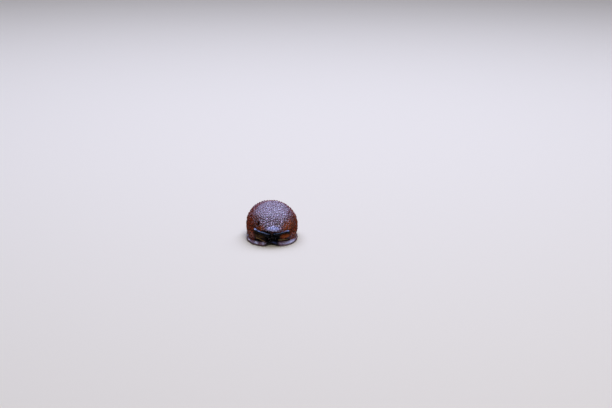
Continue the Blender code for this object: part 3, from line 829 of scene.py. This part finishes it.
# Furrows run along each tubercle, and soft wrinkles lie over everything.
row_place = add_node(tree, "ShaderNodeAttribute", {"attribute_name": "rows"}, {}).outputs["Vector"]
furrow_scale = (1.0 / FURROW_PITCH, 1.0 / FURROW_PITCH, 1.0 / FURROW_LENGTH)
along_rows = add_node(
    tree, "ShaderNodeMapping", {}, {"Vector": row_place, "Scale": furrow_scale}
).outputs["Vector"]
bumped = grain
for at, size, depth in ((along_rows, 1.0, FURROW_DEPTH), (place, WRINKLE_SIZE * MM, WRINKLE_DEPTH)):
    sockets = {"Vector": at, "Scale": 1.0 / size, "Detail": 2.0}
    relief = add_node(tree, "ShaderNodeTexNoise", {}, sockets).outputs["Fac"]
    sockets = {"Strength": 0.8, "Distance": depth * MM, "Height": relief, "Normal": bumped}
    bumped = add_node(tree, "ShaderNodeBump", {}, sockets).outputs["Normal"]
tree.links.new(bumped, shader.inputs["Normal"])
tree.links.new(bumped, shader.inputs["Coat Normal"])
set_values(shader, {
    "IOR": 1.4,
    "Subsurface Weight": 0.12,
    "Subsurface Radius": (1.0, 0.35, 0.2),
    "Subsurface Scale": 0.7 * MM,
    "Specular IOR Level": 0.3,
    "Coat Weight": 0.9,
    "Coat Roughness": 0.09,
    "Coat IOR": 1.38,
})
skin_mesh.materials.clear()
skin_mesh.materials.append(wet_skin)

skin = add_object("skin", skin_mesh)
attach(skin, "root")
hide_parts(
    "foot",
    "torso",
    "tail",
    "head",
    "neck_left",
    "neck_right",
    "upper_tentacle_left",
    "upper_tentacle_right",
    "lower_tentacle_left",
    "lower_tentacle_right",
)


# The mantle: a thick shield of flesh with a free, rolled rim, grown over the front and top of the
# back, with the breathing pore in its edge on the slug's right. It is cut flat as a disc, rolled
# under at the rim, then bent over the dome and worked over with granules.
MANTLE_GRID = 262
MANTLE_RADIUS = 15.0
RIM_SHARE = 0.955
RIM_REACH = RIM_SHARE * MANTLE_RADIUS
MANTLE_RAISED = 0.6
MANTLE_HALF_THICK = 0.75
MANTLE_EXTRA_DEPTH = 0.6
MANTLE_DEEPENS_OVER = 0.4
RIM_ROLL_ANGLES = np.radians(np.linspace(90.0, -90.0, 15))
UNDERSIDE_SHARES = (0.84, 0.6, 0.35, 0.12)
LIP_FLARE = 0.5
LIP_FLARE_TURN = 0.95
LIP_FLARE_START = 0.55
LIP_LOBE = 0.5
LIP_LOBE_TURN = 0.3
LIP_LOBE_LENGTH = 0.14

# A square grid is pressed round into a disc, which keeps its faces even. From its edge, rings are
# drawn round the rim and along the underside.
bm = bmesh.new()
bmesh.ops.create_grid(bm, x_segments=MANTLE_GRID, y_segments=MANTLE_GRID, size=1.0)
for vertex in bm.verts:
    a, b = vertex.co.xy
    if abs(a) > abs(b):
        reach, turn = a, math.pi / 4.0 * b / a
    else:
        reach, turn = b, math.pi / 2.0 - (math.pi / 4.0 * a / b if b else 0.0)
    reach = RIM_REACH * reach
    vertex.co = (reach * math.cos(turn), reach * math.sin(turn), MANTLE_RAISED)
rim_centre = MANTLE_RAISED - MANTLE_HALF_THICK
ring_places = [
    (
        RIM_REACH + MANTLE_HALF_THICK * math.cos(roll),
        rim_centre + MANTLE_HALF_THICK * math.sin(roll),
    )
    for roll in RIM_ROLL_ANGLES[1:]
]
for part in UNDERSIDE_SHARES:
    deeper = MANTLE_EXTRA_DEPTH * float(smooth((RIM_SHARE - part) / MANTLE_DEEPENS_OVER))
    ring_places.append((part * MANTLE_RADIUS, rim_centre - MANTLE_HALF_THICK - deeper))
last_radius, last_height = RIM_REACH, MANTLE_RAISED
for radius, height in ring_places:
    ring = draw_ring(bm)
    spread = radius / last_radius
    bmesh.ops.scale(bm, vec=(spread, spread, 1.0), verts=ring)
    bmesh.ops.translate(bm, vec=(0.0, 0.0, height - last_height), verts=ring)
    last_radius, last_height = radius, height
close_up(bm)
mantle_mesh = mesh_of("mantle_shield", bm)

flat = read_points(mantle_mesh)
flat_reach = np.hypot(flat[:, 0], flat[:, 1])
around = np.arctan2(flat[:, 1], flat[:, 0])
share = flat_reach / MANTLE_RADIUS
spread = share * mantle_edge(around)
middle, sideways, backward = mantle_axes
outward = np.outer(np.cos(around), sideways) + np.outer(np.sin(around), backward)
ways = middle * np.cos(spread)[:, None] + outward * np.sin(spread)[:, None]
from_front = turn_from(MANTLE_FRONT, around)
flare = smooth((share - LIP_FLARE_START) / (RIM_SHARE - LIP_FLARE_START))
flare = flare * bell(from_front / LIP_FLARE_TURN)
lobe = bell(from_front / LIP_LOBE_TURN) * bell((share - RIM_SHARE) / LIP_LOBE_LENGTH)
points = on_dome(ways, flat[:, 2] + LIP_FLARE * flare + LIP_LOBE * lobe)
write_points(mantle_mesh, points)
normals = read_normals(mantle_mesh)

# The granules are laid out on the flat disc with its rim unrolled, so that none is stretched. They
# are coarser than the real ones, so that they show at the photo's distance. They are lower out on
# the sides, and higher on the steep part below the top.
GRANULE_SIZE = np.array((1.3, 1.12))
GRANULE_JITTER = (0.6, 0.6)
GRANULE_GIRTH = 0.66
GRANULE_HEIGHT = 0.4
GRANULE_HEIGHT_VARIES = 0.3
GRANULE_JOINT = 0.48
GRANULE_FIRST_CELL = 200.0
GRANULE_WAVES = (((0.6, 2.2, 31.0), (0.2, 0.7, 13.0)), ((0.6, 2.2, 47.0), (0.2, 0.7, 29.0)))
MANTLE_WAVES = ((0.1, 2.6, 61.0), (0.03, 0.4, 67.0))
CALM_MIDDLE = 0.5
CALM_FROM = 5.5
CALM_OVER = 4.5
CALM_LOWERS = 0.4
STEEP_FROM = 18.5
STEEP_OVER = 6.0
GRANULE_FLAT_SHARE = 0.85
GRANULE_STEEP_GAIN = 0.35
PORE_PLACE = (-7.7, 12.1)
PORE_RADII = (0.58, 1.2)
PORE_LEAN = math.radians(35.0)
PORE_DEPTH = 1.15
PORE_RIM = 0.22
PORE_RIM_PLACE = 1.55

rolled = np.maximum(flat_reach - RIM_REACH, 0.0)
roll_angle = np.arctan2(flat[:, 2] - rim_centre, rolled)
unrolled = np.where(rolled > 1e-4, MANTLE_HALF_THICK * (math.pi / 2.0 - roll_angle), 0.0)
laid_reach = flat_reach - rolled + unrolled
laid = np.column_stack((laid_reach * np.cos(around), laid_reach * np.sin(around)))
x, y, z = points.T
on_top = smooth((flat[:, 2] - rim_centre + 0.55) / 0.4)
sway = [uneven(points, *broad) + uneven(points, *fine) for broad, fine in GRANULE_WAVES]
u, v = ((laid + np.column_stack(sway)) / GRANULE_SIZE + GRANULE_FIRST_CELL).T
joint, granule, own, _ = cobbles(u, v, GRANULE_JITTER, GRANULE_GIRTH)
pore_x, pore_z = x - PORE_PLACE[0], z - PORE_PLACE[1]
pore_across = pore_x * math.cos(PORE_LEAN) - pore_z * math.sin(PORE_LEAN)
pore_up = pore_x * math.sin(PORE_LEAN) + pore_z * math.cos(PORE_LEAN)
from_pore = np.hypot(pore_across / PORE_RADII[0], pore_up / PORE_RADII[1])
near_pore = smooth((-8.0 - y) / 3.0) * on_top
in_pore = smooth((1.25 - from_pore) / 0.75) * near_pore
pore_rim = bell((from_pore - PORE_RIM_PLACE) / 0.4) * near_pore
calm = smooth((np.abs(x - CALM_MIDDLE) - CALM_FROM) / CALM_OVER)
steep = smooth((STEEP_FROM - z) / STEEP_OVER)
own_height = GRANULE_HEIGHT * (1.0 - GRANULE_HEIGHT_VARIES + GRANULE_HEIGHT_VARIES * own)
raised = own_height * granule * (GRANULE_FLAT_SHARE + GRANULE_STEEP_GAIN * steep)
raised = raised * (1.0 - CALM_LOWERS * calm) * on_top * (1.0 - in_pore)
raised = raised + sum(uneven(points, *wave) for wave in MANTLE_WAVES) * on_top
raised = raised + PORE_RIM * pore_rim - PORE_DEPTH * in_pore
points = points + normals * raised[:, None]
write_points(mantle_mesh, points * MM)
mantle_mesh.shade_smooth()

# Where the mantle is which colour, with painted sky sheen, glints and shade. A ruddy patch has its
# place and radii, across and up, and its strength. The lip patch is a painted glint of the sky.
RUDDY_PATCHES = (
    (-5.8, 10.6, 2.6, 1.3, 1.0),
    (-11.0, 13.5, 2.5, 4.0, 0.3),
    (8.8, 11.2, 4.0, 2.8, 1.0),
)
LIP_PATCH_PLACE = (0.4, 10.2)
LIP_PATCH_RADII = (3.9, 1.5)
LOW_SIDE_MIDDLE = -0.3
LOW_SIDE_FROM = 4.6
LOW_SIDE_TOPS = (15.5, 18.5)

x, y, z = points.T
sideward, upward = np.abs(normals[:, 0]), normals[:, 2]
low_side = smooth((np.where(x > 0.0, *LOW_SIDE_TOPS) - z) / 4.0)
low_side = low_side * smooth((np.abs(x - LOW_SIDE_MIDDLE) - LOW_SIDE_FROM) / 3.2)
low_side = np.maximum(low_side, calm * smooth((18.0 - z) / 4.0))
ruddy = smooth(sum(
    strength * bell(np.hypot((x - at_x) / half_width, (z - at_z) / half_height))
    for at_x, at_z, half_width, half_height, strength in RUDDY_PATCHES
))
# The lip patch: a painted glint of the sky, pale blue, on the front of the lip.
lip_across, lip_up = ((points[:, [0, 2]] - LIP_PATCH_PLACE) / LIP_PATCH_RADII).T
on_lip = bell(np.hypot(lip_across, lip_up) ** 1.6) * smooth((-12.0 - y) / 3.0)
groove = (1.0 - smooth(joint / GRANULE_JOINT)) * on_top
# Painted sky sheen: lavender grey on upward-facing granules, less on dark ones, sides and low
# flanks.
painted_sky_sheen = smooth((upward - 0.35) / 0.45) * smooth((granule - 0.15) / 0.8)
painted_sky_sheen = painted_sky_sheen * (1.0 - (0.45 + 0.4 * steep) * (1.0 - own))
painted_sky_sheen = painted_sky_sheen * (1.0 - 0.5 * smooth((sideward - 0.5) / 0.3)) * (1.0 - low_side)
# Painted glints of the sky: pale specks on the tops of some granules on the steep front.
glint = smooth((own - 0.5) / 0.25) * smooth((granule - 0.5) / 0.35)
glint = glint * smooth((upward - 0.2) / 0.4) * smooth((x + 8.5) / 3.0)
glint = glint * steep * (1.0 - ruddy) * (1.0 - low_side)
masks = {
    "groove": 0.95 * groove * (1.0 - 0.5 * on_lip) * (0.8 + 0.2 * steep),
    "half_tone": 0.7 * (1.0 - own),
    "painted_sky_sheen": 0.85 * painted_sky_sheen,
    "glint": 0.75 * glint,
    "lip": on_lip,
    "ruddy": 0.85 * ruddy,
    # Painted shade: near black inside the breathing pore.
    "pore": in_pore,
    "mucus": 1.0 - 0.7 * low_side * (1.0 - on_lip),
}
store_masks(mantle_mesh, masks)

# The mantle's skin: the same wet skin, paler and granular, under a thin film of mucus. The lavender
# grey over brown on its top is painted sky sheen in its colour, besides its coat's own reflection.
granular_skin, patches, specks, grain = wet_flesh("wet_granular_mantle_skin", 0.5, 0.06)
tree = granular_skin.node_tree
shader = tree.nodes["Principled BSDF"]
masked = read_masks(tree, masks)
# The sheen, the glints and the lip patch are painted sky light; the pore's black is painted shade.
layers = (
    (patches, "803617"),
    (masked["half_tone"], "40180c"),
    (masked["painted_sky_sheen"], "a18498"),
    (masked["ruddy"], "a04a10"),
    (masked["glint"], "cdb6cc"),
    (masked["lip"], "c2c8fc"),
    (masked["groove"], "140807"),
    (masked["pore"], "060404"),
)
tree.links.new(paint_over(tree, hex_colour("682510"), layers), shader.inputs["Base Color"])
gloss = add_node(
    tree, "ShaderNodeMapRange", {}, {"Value": specks, "To Min": 0.3, "To Max": 0.55}
).outputs["Result"]
tree.links.new(gloss, shader.inputs["Roughness"])
tree.links.new(grain, shader.inputs["Normal"])
tree.links.new(grain, shader.inputs["Coat Normal"])
tree.links.new(masked["mucus"], shader.inputs["Coat Weight"])
set_values(shader, {
    "IOR": 1.4,
    "Subsurface Weight": 0.1,
    "Subsurface Radius": (1.0, 0.35, 0.2),
    "Subsurface Scale": 0.6 * MM,
    "Coat Roughness": 0.08,
    "Coat IOR": 1.6,
})
mantle_mesh.materials.append(granular_skin)

mantle = add_object("mantle_shield", mantle_mesh)
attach(mantle, "root")
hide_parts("mantle")


# The eyes: black dots under the clear skin of the knobs at the tips of the upper tentacles. Each is
# a small glossy bead, sunk most of the way into its knob.
EYE_RADIUS = 0.27
EYE_OUT = 1.0
EYE_FACING = (0.8, -0.6, 0.0)
CLOUD_SIZE = 0.2

# A moist black bead: deep and even, with only a faint cloud, and sharp small highlights.
eye_black = bpy.data.materials.new("moist_black_eye")
eye_black.use_nodes = True
tree = eye_black.node_tree
shader = tree.nodes["Principled BSDF"]
place = add_node(tree, "ShaderNodeTexCoord", {}, {}).outputs["Object"]
cloud_sockets = {"Vector": place, "Scale": 1.0 / (CLOUD_SIZE * MM)}
cloud = add_node(tree, "ShaderNodeTexNoise", {}, cloud_sockets).outputs["Fac"]
colour = paint_over(tree, hex_colour("050506"), ((cloud, "15141a"),))
tree.links.new(colour, shader.inputs["Base Color"])
set_values(shader, {"Roughness": 0.12, "IOR": 1.38})
for side_name, side in SIDES:
    knob = Vector(tentacle_line(side, UPPER_ROUTES[side_name])[-1])
    facing = Vector((side * EYE_FACING[0], *EYE_FACING[1:])).normalized()
    bm = bmesh.new()
    bmesh.ops.create_icosphere(bm, subdivisions=3, radius=EYE_RADIUS)
    bmesh.ops.translate(bm, vec=knob + facing * EYE_OUT, verts=bm.verts)
    bmesh.ops.scale(bm, vec=(MM, MM, MM), verts=bm.verts)
    eye_mesh = mesh_of(f"eye_{side_name}", bm)
    eye_mesh.shade_smooth()
    eye_mesh.materials.append(eye_black)
    eye = add_object(f"eye_{side_name}", eye_mesh)
    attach(eye, "root")


# The floor, the lights and the camera: a pale matt floor, a broad cool light overhead like an open
# sky, and a small one above the face. The floor's paint is warm, so that it looks neutral in their
# light. The camera has the photo's framing.
FLOOR_SIZE = 6.0
WORLD_STRENGTH = 0.07
LENS = 105.0
SENSOR = 36.0
IMAGE_WIDTH = 612
IMAGE_HEIGHT = 408
ORIGIN_PIXEL = (272.0, 237.4)
PIXELS_PER_MM = 1.733
CAMERA_ELEVATION = math.radians(15.0)

# Each lamp has its name, its colour, its watts, its size and its place. It is aimed at the slug.
LAMPS = (
    ("sky", "bfcaff", 24.5, 1.2, (0.06, 0.42, 0.92)),
    ("front", "e6eaff", 4.0, 0.4, (0.15, -0.55, 0.85)),
)

# Matt paint: soft and even, with no highlight. The slug's wet film doesn't mirror it, because a
# pale floor would turn the flanks grey.
bm = bmesh.new()
bmesh.ops.create_grid(bm, x_segments=1, y_segments=1, size=FLOOR_SIZE / 2.0)
floor = add_object("floor", mesh_of("floor", bm))
matt_paint = bpy.data.materials.new("matt_paint")
matt_paint.use_nodes = True
shader = matt_paint.node_tree.nodes["Principled BSDF"]
set_values(shader, {"Base Color": hex_colour("d8ccaa"), "Roughness": 0.8})
floor.data.materials.append(matt_paint)
floor.visible_glossy = False

bpy.context.scene.view_settings.view_transform = "Standard"
world = bpy.data.worlds.new("studio")
bpy.context.scene.world = world
world.use_nodes = True
background = world.node_tree.nodes["Background"]
set_values(background, {"Color": hex_colour("fff0dc"), "Strength": WORLD_STRENGTH})

for light_name, shade, watts, size, at in LAMPS:
    lamp = bpy.data.lights.new(light_name, "AREA")
    lamp.color = hex_colour(shade)[:3]
    lamp.energy = watts
    lamp.size = size
    light = add_object(light_name, lamp)
    light.location = at
    light.rotation_mode = "QUATERNION"
    light.rotation_quaternion = (-Vector(at)).to_track_quat("-Z", "Y")
    light.visible_camera = False

focal_pixels = LENS / SENSOR * IMAGE_WIDTH
camera_data = bpy.data.cameras.new("camera")
camera_data.lens = LENS
camera_data.sensor_width = SENSOR
camera_data.clip_start = 0.01
camera = add_object("camera", camera_data)
towards_camera = Vector((0.0, -math.cos(CAMERA_ELEVATION), math.sin(CAMERA_ELEVATION)))
camera.location = towards_camera * (focal_pixels / PIXELS_PER_MM * MM)
turn_right = math.atan((IMAGE_WIDTH / 2.0 - ORIGIN_PIXEL[0]) / focal_pixels)
tilt_up = math.atan((ORIGIN_PIXEL[1] - IMAGE_HEIGHT / 2.0) / focal_pixels)
aim = (-towards_camera).to_track_quat("-Z", "Y")
aim = aim @ Quaternion((0.0, 1.0, 0.0), -turn_right) @ Quaternion((1.0, 0.0, 0.0), tilt_up)
camera.rotation_mode = "QUATERNION"
camera.rotation_quaternion = aim
bpy.context.scene.camera = camera
